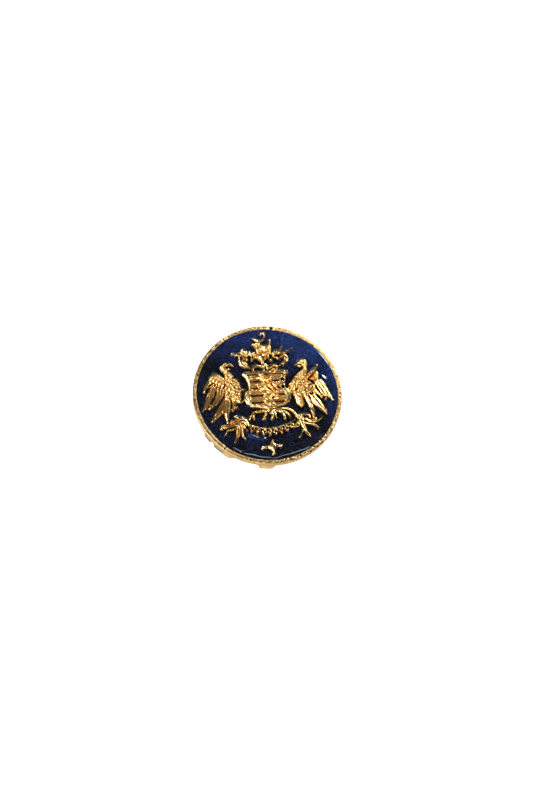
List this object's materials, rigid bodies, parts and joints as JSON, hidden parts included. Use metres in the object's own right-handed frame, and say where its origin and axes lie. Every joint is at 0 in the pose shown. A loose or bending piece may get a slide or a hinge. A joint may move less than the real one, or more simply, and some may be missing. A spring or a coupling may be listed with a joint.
{
  "type": "cap badge",
  "caption": "Round gilt badge with a blue enamel field, a shield between two birds in relief, and a hinged brooch pin with a turning safety catch on the back.",
  "frame": {"origin": "under the centre of the disc, in the plane that the feet rest on", "axes": "+Z out of the badge's face, +Y towards the top of the emblem, +X to the emblem's right as seen from the front"},
  "size_m": [0.036, 0.036, 0.0044],
  "materials": {
    "gilt_rim": "gilt, milled top and cast wall",
    "gilt_device": "gilt relief, polished high spots over orange-brown recesses",
    "gilt_fitting": "satin gilt",
    "blue_enamel": "glossy translucent enamel over a granular ground",
    "pin_steel": "drawn wire"
  },
  "bodies": {
    "badge": {"badge_body": "gilt_rim", "shield": "gilt_device", "wreath": "gilt_device", "helmet": "gilt_device", "crest": "gilt_device", "mantling_left": "gilt_device", "mantling_right": "gilt_device", "eagle_left": "gilt_device", "eagle_right": "gilt_device", "base_scroll": "gilt_device", "branch_left": "gilt_device", "branch_right": "gilt_device", "beaded_band": "gilt_device", "fleuron": "gilt_device", "enamel_field": "blue_enamel", "back_plate": "gilt_fitting", "lower_foot": "gilt_fitting", "side_foot": "gilt_fitting", "upper_foot": "gilt_fitting", "hinge_bracket": "gilt_fitting", "catch_base": "gilt_fitting", "hinge_rivet": "pin_steel"},
    "pin": {"brooch_pin": "pin_steel"},
    "sleeve": {"catch_sleeve": "gilt_fitting"}
  },
  "joints": [
    {"name": "pin_swing", "type": "hinge", "parent": "badge", "child": "pin", "pos_m": [-0.01328, -0.01013, 0.001], "axis": [-0.6067, 0.7949, 0], "range_deg": [0, 95]},
    {"name": "sleeve_turn", "type": "hinge", "parent": "badge", "child": "sleeve", "pos_m": [0.01113, 0.00849, 0.001], "axis": [0.7949, 0.6067, 0], "range_deg": [0, 150]}
  ]
}
